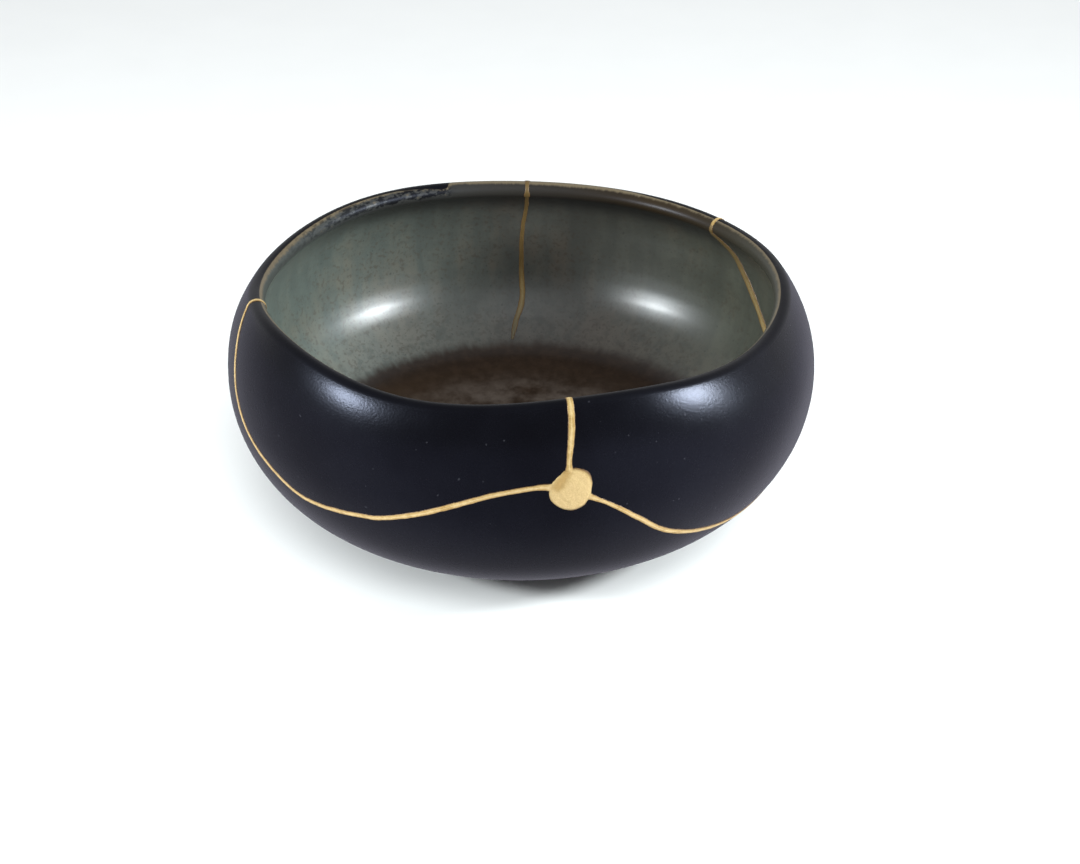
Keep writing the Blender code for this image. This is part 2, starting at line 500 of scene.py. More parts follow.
@dataclass
class BowlShape:
    """The turned bowl with its hand-thrown, uneven lip. Sizes are in millimetres.

    The rises and spreads are waves round the lip: a count, a reach and the azimuth of a crest.
    """

    lip_radius: float = 2.6
    lip_centre_radius: float = 71.8
    lip_centre_height: float = 62.3
    outside: Face = Face(80.0, 41.7, 43.2, 4.2, 33.5, 1.97, 2.42)
    inside: Face = Face(74.2, 45.0, 0.0, 7.4, 213.5, 2.88, 2.3)
    foot_outer: float = 40.8
    foot_inner: float = 35.6
    foot_round: float = 0.6
    recess_radius: float = 34.2
    recess_depth: float = 3.0
    rises: tuple = ((1, 2.84, -121.0), (2, 0.76, -86.0), (4, 1.0, 24.0), (5, 0.62, -6.0))
    spreads: tuple = ((2, 1.16, 59.0), (3, 0.78, 37.0))
    section: np.ndarray = field(init=False)
    run: np.ndarray = field(init=False)

    def __post_init__(self) -> None:
        """Work out the section and the run at each of its points."""
        inner = self._face_points(self.inside, 66, 30)
        turns = np.linspace(self.inside.lip_turn, self.outside.lip_turn, 27)
        lip = np.stack(self.lip_point(turns), axis=1)
        outer = self._face_points(self.outside, 48, 26)[::-1]
        self.section = np.concatenate([inner, lip, outer, self._foot_points()])
        steps = np.hypot(*np.diff(self.section, axis=0).T)
        along = np.concatenate([[0.0], np.cumsum(steps)])
        to_crest = math.radians(self.inside.lip_turn - 90.0)
        self.run = along[len(inner)] + self.lip_radius * to_crest - along

    @property
    def crest(self) -> float:
        """Return the height of the turned lip."""
        return self.lip_centre_height + self.lip_radius

    def lip_point(self, turn: Any) -> tuple[Any, Any]:
        """Return radius and height on the lip's round, where 0 faces outwards and 90 is up."""
        angle = np.radians(turn)
        radius = self.lip_centre_radius + self.lip_radius * np.cos(angle)
        return radius, self.lip_centre_height + self.lip_radius * np.sin(angle)

    def face_radius(self, face: Face, height: np.ndarray) -> np.ndarray:
        """Return the radius of one face of the wall at heights between its base and the lip."""
        height = np.asarray(height, dtype=float)
        drop = np.clip((face.height - height) / (face.height - face.base_height), 0.0, 1.0)
        belly = (1.0 - drop ** face.below) ** (1.0 / face.below)
        low = face.base_radius + (face.radius - face.base_radius) * belly
        edge_radius, edge_height = self.lip_point(face.lip_turn)
        rise = np.clip((height - face.height) / (edge_height - face.height), 0.0, None)
        high = face.radius - (face.radius - edge_radius) * rise ** face.above
        return np.where(height < face.height, low, high)

    def _face_points(self, face: Face, below: int, above: int) -> np.ndarray:
        """Return one face as (radius, height) points, from its base up to just under the lip."""
        turn = 0.5 * math.pi * (1.0 - np.arange(below) / below)
        low = face.height - (face.height - face.base_height) * np.sin(turn) ** (2.0 / face.below)
        edge_height = self.lip_point(face.lip_turn)[1]
        high = face.height + (edge_height - face.height) * np.arange(above) / above
        heights = np.concatenate([low, high])
        return np.stack([self.face_radius(face, heights), heights], axis=1)

    def _foot_points(self) -> np.ndarray:
        """Return the foot ring and the recess inside it, with the ring's edges rounded."""
        arc = np.radians(np.linspace(0.0, -90.0, 7))
        size = self.foot_round
        edges = ((self.foot_outer, -1.0, arc), (self.foot_inner, 1.0, arc[::-1]))
        ring = [
            (edge + side * size * (1.0 - math.cos(turn)), size * (1.0 + math.sin(turn)))
            for edge, side, turns in edges
            for turn in turns
        ]
        recess = np.linspace(self.recess_radius, 0.0, 20)
        return np.array(ring + [(radius, self.recess_depth) for radius in recess])

    def _uneven(self, points: np.ndarray) -> np.ndarray:
        """Return turned points, in millimetres, moved as the lip is."""
        fade = self._fade(points[:, 2])
        azimuth = np.arctan2(points[:, 1], points[:, 0])
        spread = fade * self._wave(self.spreads, azimuth)
        lift = fade * self._wave(self.rises, azimuth)
        return points + np.stack([spread * np.cos(azimuth), spread * np.sin(azimuth), lift], axis=1)

    def _fade(self, height: np.ndarray) -> np.ndarray:
        """Return the share of the lip's unevenness that is felt at turned heights."""
        waist = self.outside.height
        rise = np.clip((height - waist) / (self.crest - waist), 0.0, 1.0)
        return rise * rise * (3.0 - 2.0 * rise)

    @staticmethod
    def _wave(waves: tuple, azimuth: np.ndarray) -> np.ndarray:
        """Return the sum of the lip's waves at azimuths in radians."""
        return sum(
            reach * np.cos(count * (azimuth - math.radians(crest)))
            for count, reach, crest in waves
        )

    def turned(self, azimuth: np.ndarray, radius: np.ndarray, height: np.ndarray) -> np.ndarray:
        """Return uneven points, in metres, from azimuths in degrees, turned radii and heights."""
        turn = np.radians(azimuth)
        points = np.stack([radius * np.cos(turn), radius * np.sin(turn), height], axis=1)
        return self._uneven(points) * MM

    def section_at(self, run: np.ndarray) -> list[np.ndarray]:
        """Return the turned section's radii and heights at runs."""
        return [np.interp(run, self.run[::-1], self.section[::-1, axis]) for axis in (0, 1)]

    def at(self, azimuth: np.ndarray, run: np.ndarray) -> np.ndarray:
        """Return the surface's points at azimuths and runs, in metres."""
        return self.turned(azimuth, *self.section_at(run))

    def upright(self, azimuth: np.ndarray, run: np.ndarray) -> np.ndarray:
        """Return the surface's outward unit normals at azimuths and runs."""
        across = self.at(azimuth + 0.2, run) - self.at(azimuth - 0.2, run)
        along = self.at(azimuth, run + 0.3) - self.at(azimuth, run - 0.3)
        normal = np.cross(across, along)
        return normal / np.linalg.norm(normal, axis=1, keepdims=True)

    def outer_run(self, height: np.ndarray) -> np.ndarray:
        """Return the runs of places on the outer wall, given by their heights."""
        edge = self.lip_point(self.outside.lip_turn)[1] + 1e-6
        rise = self.section[:, 1]
        near = (self.run < 0.0) & (rise <= edge) & (rise >= self.outside.base_height)
        return np.interp(height, rise[near][::-1], self.run[near][::-1])

    def through(self, run: np.ndarray) -> np.ndarray:
        """Return the runs on the inner wall that lie square through the wall from outer ones."""
        here = np.stack(self.section_at(run), axis=1)
        slope = np.stack(self.section_at(run + 0.2), axis=1) - here
        inwards = np.stack([-slope[:, 1], slope[:, 0]], axis=1)
        inner = self.run > 1.0
        start, end = self.section[inner][:-1], self.section[inner][1:]
        start_run, end_run = self.run[inner][:-1], self.run[inner][1:]
        found = []
        for origin, way in zip(here, inwards):
            side = end - start
            across = way[0] * side[:, 1] - way[1] * side[:, 0]
            gap = start - origin
            reach = (gap[:, 0] * side[:, 1] - gap[:, 1] * side[:, 0]) / across
            share = (gap[:, 0] * way[1] - gap[:, 1] * way[0]) / across
            hits = np.flatnonzero((reach > 0.0) & (share >= 0.0) & (share <= 1.0))
            best = hits[np.argmin(reach[hits])]
            found.append(start_run[best] + (end_run[best] - start_run[best]) * share[best])
        return np.array(found)

    def run_of(self, points: np.ndarray) -> np.ndarray:
        """Return the run of the surface nearest to points given in metres.

        Args:
            points: Points of the finished, uneven bowl.

        Returns:
            One run for each, in millimetres.
        """
        points = points / MM
        azimuth = np.arctan2(points[:, 1], points[:, 0])
        lift = self._wave(self.rises, azimuth)
        height = points[:, 2]
        for _ in range(16):
            height = points[:, 2] - self._fade(height) * lift
        spread = self._fade(height) * self._wave(self.spreads, azimuth)
        flat = np.stack([np.hypot(points[:, 0], points[:, 1]) - spread, height], axis=1)
        start, side = self.section[:-1], np.diff(self.section, axis=0)
        length = np.einsum("ij,ij->i", side, side)
        found = np.empty(len(flat))
        batch = 4000
        for first in range(0, len(flat), batch):
            gap = flat[first:first + batch, None, :] - start[None]
            share = np.clip(np.einsum("ijk,jk->ij", gap, side) / length, 0.0, 1.0)
            rest = gap - share[..., None] * side
            nearest = np.argmin(np.einsum("ijk,ijk->ij", rest, rest), axis=1)
            step = share[np.arange(len(nearest)), nearest]
            found[first:first + batch] = self.run[nearest] + np.diff(self.run)[nearest] * step
        return found


# ---- Finishes ----


@dataclass(frozen=True)
class LipPaint:
    """How the glazes meet on the lip at one azimuth. Runs and widths are in millimetres. The under
    colour, just inside the lip, is partly the glaze's own and partly painted shade under the lip.
    """

    azimuth: float
    black_ends: float
    tan_width: float
    under: Colour
    drips: float = 0.0


@dataclass(frozen=True)
class Stoneware:
    """The fired surface: black outside, celadon inside over an iron-brown floor, a bare foot; light
    and shade are partly painted into the colours inside and under the lip.
    """

    name: str = "glazed_stoneware"
    black: Colour = (0.0012, 0.0011, 0.0018)
    black_sheen: Colour = (0.0026, 0.0026, 0.0040)
    dust: Colour = (0.030, 0.030, 0.036)
    tan: Colour = (0.124, 0.098, 0.062)
    celadon: Colour = (0.105, 0.120, 0.105)
    celadon_deep: Colour = (0.068, 0.080, 0.073)
    celadon_warm: Colour = (0.112, 0.102, 0.080)
    celadon_pale: Colour = (0.165, 0.170, 0.150)
    speck: Colour = (0.036, 0.040, 0.036)
    freckle: Colour = (0.060, 0.052, 0.040)
    iron: Colour = (0.0164, 0.0101, 0.0066)
    iron_tan_and_painted_light: Colour = (0.040, 0.024, 0.013)
    iron_pale: Colour = (0.082, 0.064, 0.053)
    body: Colour = (0.062, 0.050, 0.040)
    # Tints by azimuth inside: partly the glaze's own tone, partly painted light and shade, lighter
    # on the left wall and darker at the back and right.
    glaze_tone_and_painted_light: tuple[tuple[float, Colour], ...] = (
        (-180.0, (1.33, 1.44, 1.42)), (-90.0, (0.85, 0.80, 0.76)), (0.0, (0.77, 0.72, 0.62)),
        (40.0, (0.62, 0.56, 0.48)), (60.0, (0.54, 0.48, 0.45)), (78.0, (0.46, 0.40, 0.39)),
        (92.0, (0.50, 0.45, 0.45)), (108.0, (0.70, 0.67, 0.66)), (135.0, (1.12, 1.16, 1.16)),
        (180.0, (1.33, 1.44, 1.42)),
    )
    lip: tuple[LipPaint, ...] = (
        LipPaint(-180.0, 1.1, 1.0, (0.055, 0.062, 0.056)),
        LipPaint(-160.0, 1.2, 0.85, (0.060, 0.066, 0.058)),
        LipPaint(-148.0, 1.45, 0.4, (0.06, 0.06, 0.052)),
        LipPaint(-24.0, 1.45, 0.4, (0.05, 0.05, 0.042)),
        LipPaint(-8.0, 0.9, 0.6, (0.045, 0.045, 0.036)),
        LipPaint(28.0, 0.6, 0.7, (0.036, 0.033, 0.024)),
        LipPaint(44.0, 0.7, 0.45, (0.026, 0.019, 0.011)),
        LipPaint(58.0, 0.5, 0.6, (0.024, 0.016, 0.008)),
        LipPaint(67.0, -0.3, 1.3, (0.018, 0.013, 0.008)),
        LipPaint(80.0, -1.6, 2.9, (0.018, 0.015, 0.012)),
        LipPaint(106.5, -1.8, 2.5, (0.025, 0.024, 0.022)),
        LipPaint(108.6, 2.6, 0.0, (0.028, 0.028, 0.027), 1.0),
        LipPaint(113.0, 1.6, 0.0, (0.028, 0.028, 0.027), 1.0),
        LipPaint(121.0, 0.7, 0.3, (0.032, 0.032, 0.030), 1.0),
        LipPaint(138.0, 0.6, 0.7, (0.040, 0.042, 0.041), 0.75),
        LipPaint(154.0, 0.8, 1.2, (0.048, 0.052, 0.049), 0.25),
        LipPaint(180.0, 1.1, 1.0, (0.055, 0.062, 0.056)),
    )
    shade_line: Colour = (0.007, 0.0068, 0.0068)
    iron_edge: float = 57.2
    ring_rate: float = 0.95
    glaze_roughness: float = 0.27
    inner_roughness: float = 0.36
    lip_roughness: float = 0.42
    bump_strength: float = 0.32
    bump_height: float = 0.00012
    specular: float = 0.145
    coat_roughness: float = 0.32
    coat_index: float = 1.72
    sheen_tint: Colour = (0.69, 0.75, 1.0)

    def build(self) -> bpy.types.Material:
        """Make the material.

        Returns:
            A material that reads Object coordinates and the attribute "run".
        """
        net = Paint(self.name)
        run = net.attribute("run")
        x, y, z = net.parts(net.place)
        way = net.vector("NORMALIZE", net.combined(x, y, 0.0))
        turn = net.maths("ARCTAN2", y, x) / math.tau + 0.5
        mottle = net.grain(net.place, 330.0, 4.0, 0.62, 3.0)
        cloud = net.grain(net.place, 34.0, 3.0, 0.55, 4.0)

        inner = self._inside(net, way, turn, run, mottle, cloud)
        outer = net.tint(net.band(cloud, 0.35, 0.7), self.black, self.black_sheen)
        dust = net.band(net.grain(net.place, 900.0, 0.0, 0.5, 14.0), 0.815, 0.87)
        outer = net.tint(dust * 0.6, outer, self.dust)
        colour, outside = self._lip_over(net, way, turn, run, inner, outer)
        foot = net.band(z, 0.0034, 0.0031) * net.band(run, -90.0, -100.0)
        bare = net.tint(net.band(mottle, 0.4, 0.62), self.body, tuple(0.62 * c for c in self.body))

        on_lip = net.band(run, -3.0, -1.0) * net.band(run, 7.5, 4.5)
        rough = outside * (self.glaze_roughness - self.inner_roughness) + self.inner_roughness
        rough = rough + on_lip * (self.lip_roughness - rough)
        rough = rough + (mottle - 0.5) * 0.06 + net.band(run, 64.0, 78.0) * 0.14 + foot * 0.35

        grit = net.grain(net.place, 1500.0, 1.0, 0.6, 9.0)
        peel = net.grain(net.place, 420.0, 2.0, 0.5, 10.0)
        relief = grit * 0.8 * outside + peel * 0.5 * (1.0 - outside * 0.5) + mottle * foot * 1.6
        return net.done({
            "Base Color": net.tint(foot, colour, bare),
            "Roughness": rough,
            "Coat Weight": (1.0 - outside) * net.band(run, 64.0, 54.0) * (1.0 - on_lip * 0.92),
            "Normal": net.bump(relief, self.bump_strength, self.bump_height),
            "Coat Roughness": self.coat_roughness,
            "Coat IOR": self.coat_index,
            "Specular IOR Level": self.specular,
            "Specular Tint": (*self.sheen_tint, 1.0),
        })

    @staticmethod
    def _round(net: Net, turn: Wire, stops: Sequence[tuple[float, Colour]]) -> Wire:
        """Return three numbers that change with the azimuth, from those at a few azimuths."""
        node = net.node("ShaderNodeValToRGB", {"Fac": turn})
        elements = node.color_ramp.elements
        while len(elements) < len(stops):
            elements.new(1.0)
        for element, (azimuth, values) in zip(elements, stops):
            element.position = (azimuth + 180.0) / 360.0
            element.color = (*values, 1.0)
        return net.out(node, "Color")

    def _inside(
        self, net: Paint, way: Wire, turn: Wire, run: Wire, mottle: Wire, cloud: Wire
    ) -> Wire:
        """Return the colour inside, below the lip: streaked celadon over the iron floor, with
        painted light and shade.

        Args:
            net: The material's net.
            way: The unit vector away from the bowl's axis.
            turn: The azimuth as a share of a turn.
            run: The distance along the section from the lip's crest.
            mottle: A fine noise.
            cloud: A broad noise.

        Returns:
            The colour.
        """
        streak = self._drawn(net, way, 13.0, run * 0.03, 4.0, 0.62, 5.0)
        base = net.band(streak, 0.28, 0.72) * 0.8 + 0.1
        celadon = net.tint(base, self.celadon_deep, self.celadon)
        warm = net.band(cloud + (streak - 0.5) * 0.5, 0.44, 0.68) * 0.8
        celadon = net.tint(warm, celadon, self.celadon_warm)
        celadon = net.tint(net.band(mottle, 0.44, 0.64) * 0.45, celadon, self.celadon_deep)
        pale = net.band(run, 38.0, 56.0) * net.band(mottle, 0.62, 0.42) * 0.5
        celadon = net.tint(pale, celadon, self.celadon_pale)
        grains = net.grain(net.place, 900.0, 1.0, 0.5, 11.0)
        freckles = net.band(grains, 0.54, 0.66) * net.band(cloud, 0.25, 0.58)
        celadon = net.tint(freckles * 0.6, celadon, self.freckle)
        celadon = net.tint(net.band(grains, 0.34, 0.24) * 0.7, celadon, self.speck)
        # Painted light and shade: the inside's colour times tints by azimuth.
        celadon = net.tint(1.0, celadon, self._round(net, turn, self.glaze_tone_and_painted_light), "MULTIPLY")

        waver = net.grain(net.place, 22.0, 1.0, 0.5, 6.0) * 5.0
        rings = net.maths("SINE", run * self.ring_rate + waver) * 0.5 + 0.5
        patches = net.grain(net.place, 85.0, 4.0, 0.68, 7.0) + rings * 0.10
        pale = net.band(run, 65.0, 77.0) * net.band(patches + (mottle - 0.5) * 0.5, 0.34, 0.80)
        # Partly painted light: the floor's tan ring is laid on more strongly towards the left.
        left = net.vector("DOT_PRODUCT", way, (-0.9, -0.4, 0.0), result=1)
        painted_light_on_left = net.band(left, -0.2, 0.8) * 0.6 + 0.2
        floor = net.tint(net.band(mottle, 0.38, 0.66), self.iron, tuple(1.5 * c for c in self.iron))
        floor = net.tint(net.band(run, 59.0, 66.0) * painted_light_on_left, floor, self.iron_tan_and_painted_light)
        floor = net.tint(pale, floor, self.iron_pale)
        hairs = self._drawn(net, way, 34.0, run * 0.10, 3.0, 0.6, 8.0)
        edge = self.iron_edge + (streak - 0.5) * 3.0 + (hairs - 0.5) * 4.0 + (mottle - 0.5) * 3.0
        worn = net.band(run, edge - 14.0, edge) * 0.20
        worn = worn + net.band(run, edge - 2.8, edge + 1.5) * 0.80
        return net.tint(worn, celadon, floor)

    @staticmethod
    def _drawn(
        net: Net, way: Wire, count: float, down: Wire, detail: float, rough: float, seed: float
    ) -> Wire:
        """Return a noise drawn out down the wall.

        Args:
            net: The material's net.
            way: The unit vector away from the bowl's axis.
            count: How fine it is round the bowl.
            down: How far down the wall, in the noise's own measure.
            detail: Octaves above the first.
            rough: Share of each following octave.
            seed: Its fourth coordinate, fixed.

        Returns:
            The noise.
        """
        x, y, _ = net.parts(net.scaled(way, count))
        return net.grain(net.combined(x, y, down), 1.0, detail, rough, seed)

    def _lip_over(
        self, net: Paint, way: Wire, turn: Wire, run: Wire, inner: Wire, outer: Wire
    ) -> tuple[Wire, Wire]:
        """Lay a painted shade line under the lip at the back, then the lip's glazes over the
        inside: the under colour, a tan edge and the end of the black.

        Args:
            net: The material's net.
            way: The unit vector away from the bowl's axis.
            turn: The azimuth as a share of a turn.
            run: The distance along the section from the lip's crest.
            inner: The colour inside.
            outer: The colour outside.

        Returns:
            The colour, and the share of it that is black glaze.
        """
        most, low = 5.0, 2.0
        sizes = [
            (paint.azimuth, ((paint.black_ends + low) / most, paint.tan_width / most, paint.drips))
            for paint in self.lip
        ]
        ends, width, drips = net.parts(self._round(net, turn, sizes))
        under = self._round(net, turn, [(paint.azimuth, paint.under) for paint in self.lip])
        drip = net.grain(net.scaled(way, 22.0), 1.0, 3.0, 0.7, 2.0) - 0.5
        fine = net.grain(net.scaled(way, 95.0), 1.0, 2.0, 0.6, 13.0) - 0.5
        black_end = ends * most - low + fine * 0.35
        tan_end = black_end + width * most + drip * 1.2 + fine * 0.9
        # Painted shade: a dark line under the overhanging lip on the back wall.
        behind = net.vector("DOT_PRODUCT", way, (0.14, 0.99, 0.0), result=1)
        shaded = net.band(run + drip * 2.0, 14.5, 6.5) * net.band(behind, 0.15, 0.75) * 0.85
        colour = net.tint(shaded, inner, self.shade_line)
        # The under colour: partly glaze just inside the lip, partly painted shade under it.
        colour = net.tint(net.band(run + drip, 7.0, 4.2), colour, under)
        colour = net.tint(net.band(run, tan_end + 0.55, tan_end - 0.55), colour, self.tan)
        outside = net.band(run, black_end + 0.16, black_end - 0.16)
        blots = self._drawn(net, way, 30.0, run * 0.7, 2.0, 0.6, 15.0)
        reach = drips * (net.band(run + drip * 2.5, 4.9, 3.9) * net.band(run, 0.2, 1.4))
        colour = net.tint(reach * net.band(blots, 0.58, 0.70) * 0.55, colour, self.tan)
        outside = net.maths("MAXIMUM", outside, reach * net.band(blots, 0.54, 0.45) * 0.9)
        return net.tint(outside, colour, outer), outside


@dataclass(frozen=True)
class GoldLacquer:
    """Gold powder laid on brown lacquer, brushed and slightly hammered, with narrow brown edges, a
    painted highlight along the middle of each seam and painted shade on the seams towards the back.

    The round fill has a stain near its upper left: its place from the fill's middle, in
    millimetres, and the unit vectors across it and along it.
    """

    name: str = "gold_lacquer"
    bright: Colour = (0.66, 0.47, 0.190)
    warm: Colour = (0.53, 0.345, 0.120)
    pale: Colour = (0.75, 0.565, 0.265)
    # Pale gold for the powder's bright flecks, and for the painted highlight along each seam's
    # middle.
    powder_and_painted_highlight: Colour = (0.92, 0.74, 0.40)
    worn: Colour = (0.40, 0.230, 0.048)
    gold_in_painted_shade: Colour = (0.105, 0.066, 0.022)
    glazed: Colour = (0.060, 0.056, 0.042)
    lacquer: Colour = (0.105, 0.054, 0.018)
    middle: tuple[float, float, float] = (0.0, 0.0, 0.0)
    stain: tuple[float, float, float] = (-2.1, -0.3, 2.8)
    stain_across: tuple[float, float, float] = (0.86, 0.14, -0.5)
    stain_along: tuple[float, float, float] = (-0.49, -0.08, -0.87)
    bump_strength: float = 0.8
    bump_height: float = 0.00018

    def build(self) -> bpy.types.Material:
        """Make the material.

        Returns:
            A material that reads Object coordinates and the attribute "edge".
        """
        net = Paint(self.name)
        edge = net.attribute("edge")
        leaf = net.grain(net.place, 900.0, 3.0, 0.6, 1.0)
        patch = net.grain(net.place, 240.0, 3.0, 0.6, 2.0)
        powder = net.grain(net.place, 4200.0, 2.0, 0.6, 3.0)
        _, y, z = net.parts(net.place)
        rear = net.band(y, 0.052, 0.062)
        low = net.band(z, 0.024, 0.056) * 0.62 + 0.25
        # Painted shade: the seams towards the back are darkened, more so higher up the wall and
        # most at the rear, but not on top of the lip away from the rear.
        painted_shade_on_back = net.band(y, 0.0, 0.03) * low + rear * 0.55
        painted_shade_on_back = painted_shade_on_back * (1.0 - net.band(z, 0.0605, 0.0613) * (1.0 - rear))
        faded = rear * net.band(z, 0.031, 0.016)
        spot = net.vector("SUBTRACT", net.place, self.middle)
        fill = net.band(net.vector("LENGTH", spot, result=1), 0.0062, 0.0050)
        spot = net.vector("SUBTRACT", spot, tuple(MM * value for value in self.stain))
        across, along = (
            net.maths("ABSOLUTE", net.vector("DOT_PRODUCT", spot, axis, result=1))
            for axis in (self.stain_across, self.stain_along)
        )
        ragged = across + (patch - 0.5) * 0.003
        stain = net.band(ragged, 0.0020, 0.0004) * net.band(along, 0.0040, 0.0024)
        # Painted highlight along the middle of each seam's bead.
        painted_highlight_crown = net.band(edge + (patch - 0.5) * 0.9, 0.42, 0.10) * (1.0 - fill)
        rim = net.band(edge + (leaf - 0.5) * 0.28, 0.60, 0.96) * (1.0 - fill * 0.8)
        colour = net.tint(net.band(leaf, 0.35, 0.65), self.warm, self.bright)
        for share, over in (
            (net.band(patch, 0.50, 0.70) * 0.60, self.worn),
            (fill * 0.8, self.pale),
            (net.band(powder, 0.52, 0.66) * 0.40, self.powder_and_painted_highlight),
            (net.band(powder, 0.48, 0.36) * 0.30, self.worn),
            (stain * 0.60, self.worn),
            (painted_highlight_crown * 0.45, self.powder_and_painted_highlight),
            (painted_shade_on_back, self.gold_in_painted_shade),
            (faded * 0.85, self.glazed),
            (rim, self.lacquer),
        ):
            colour = net.tint(share, colour, over)
        relief = leaf * 0.9 + powder * 0.28 + patch * 0.7
        return net.done({
            "Base Color": colour,
            "Roughness": 0.38 + leaf * 0.18 + (powder - 0.5) * 0.14,
            "Metallic": 0.62 - rim * 0.4 - painted_shade_on_back * 0.35 - faded * 0.2,
            "Normal": net.bump(relief, self.bump_strength, self.bump_height),
        })


@dataclass(frozen=True)
class TableTop:
    """The plain pale floor under the bowl."""

    name: str = "pale_floor"
    first: Colour = (0.84, 0.84, 0.84)
    second: Colour = (0.88, 0.88, 0.88)
    roughness: float = 0.8

    def build(self) -> bpy.types.Material:
        """Return a material with the faintest unevenness."""
        net = Paint(self.name)
        colour = net.tint(net.grain(net.place, 40.0, 3.0), self.first, self.second)
        return net.done({"Base Color": colour, "Roughness": self.roughness})


# ---- Cracks ----

LIP_EDGE = 63.74
IMPACT: Place = (-80.8, 46.5)


@dataclass(frozen=True)
class Crack:
    """One crack, by the places (azimuth, height on the outer wall) that it passes, and its seam.

    The widths are in millimetres: the cut's own, and the seam's by a share of its way, up to the
    lip on the outer face and down from it on the inner one.
    """

    name: str
    places: tuple[Place, ...]
    outer_widths: tuple[tuple[float, float], ...]
    inner_widths: tuple[tuple[float, float], ...]
    cut: float
    knob: float

    def route(self, steps: int) -> np.ndarray:
        """Return a smooth run of places through the given ones (a Catmull-Rom curve)."""
        keys = np.array(self.places)
        keys = np.concatenate([[2.0 * keys[0] - keys[1]], keys, [2.0 * keys[-1] - keys[-2]]])
        spans = []
        share = np.arange(steps)[:, None] / steps
        for before, start, end, after in zip(keys, keys[1:], keys[2:], keys[3:]):
            slope = end - before
            bend = 2.0 * before - 5.0 * start + 4.0 * end - after
            twist = 3.0 * start - before - 3.0 * end + after
            terms = 2.0 * start + slope * share + bend * share ** 2 + twist * share ** 3
            spans.append(0.5 * terms)
        return np.concatenate(spans + [keys[-2:-1]])


FRONT_CRACK = Crack(
    name="front",
    places=(IMPACT, (-81.0, 52.5), (-80.3, 59.2), (-80.2, LIP_EDGE)),
    outer_widths=(
        (0.0, 2.3), (0.24, 2.2), (0.31, 1.5), (0.42, 1.5), (0.6, 1.85), (0.8, 1.8), (1.0, 1.75),
    ),
    inner_widths=((0.0, 2.0), (1.0, 1.8)),
    cut=1.05,
    knob=1.0,
)
LEFT_CRACK = Crack(
    name="left",
    places=(
        IMPACT, (-86.0, 47.5), (-92.0, 46.4), (-97.0, 44.6), (-103.0, 41.3), (-109.0, 37.7),
        (-117.0, 33.7), (-122.0, 32.4), (-130.7, 30.6), (-137.3, 30.3), (-144.8, 33.0),
        (-154.2, 38.1), (-160.4, 44.6), (-163.3, 50.0), (-165.9, 55.6), (-170.5, LIP_EDGE),
    ),
    outer_widths=((0.0, 2.2), (0.045, 1.9), (0.07, 1.5), (0.2, 1.6), (0.6, 1.55), (1.0, 1.6)),
    inner_widths=((0.0, 1.6), (1.0, 1.6)),
    cut=1.15,
    knob=1.12,
)
RIGHT_CRACK = Crack(
    name="right",
    places=(
        IMPACT, (-74.0, 42.0), (-68.0, 35.9), (-62.0, 29.3), (-56.0, 25.2), (-49.3, 22.3),
        (-41.8, 20.0), (-33.0, 18.5), (-22.0, 18.6), (-11.0, 20.6), (0.0, 23.8), (11.0, 28.4),
        (18.0, 32.6), (22.2, 36.4), (27.2, 43.0), (31.8, 49.7), (35.3, 57.0), (40.8, LIP_EDGE),
    ),
    outer_widths=(
        (0.0, 2.0), (0.03, 1.75), (0.05, 1.2), (0.12, 1.55), (0.25, 1.75), (0.6, 1.5), (1.0, 1.6),
    ),
    inner_widths=((0.0, 2.3), (0.06, 2.7), (0.3, 2.9), (0.6, 2.0), (1.0, 1.7)),
    cut=0.80,
    knob=0.75,
)
BACK_CRACK = Crack(
    name="back",
    places=(
        (92.9, 11.6), (91.6, 17.0), (90.4, 20.8), (90.1, 24.4), (90.3, 31.7), (90.2, 45.0),
        (89.2, 56.5), (88.9, LIP_EDGE),
    ),
    outer_widths=((0.0, 1.2), (0.1, 1.6), (1.0, 1.8)),
    inner_widths=((0.0, 1.0), (0.4, 1.3), (0.75, 1.8), (0.92, 1.5), (1.0, 0.8)),
    cut=0.85,
    knob=0.6,
)
CRACKS = (FRONT_CRACK, LEFT_CRACK, RIGHT_CRACK, BACK_CRACK)


# ---- The stoneware ----


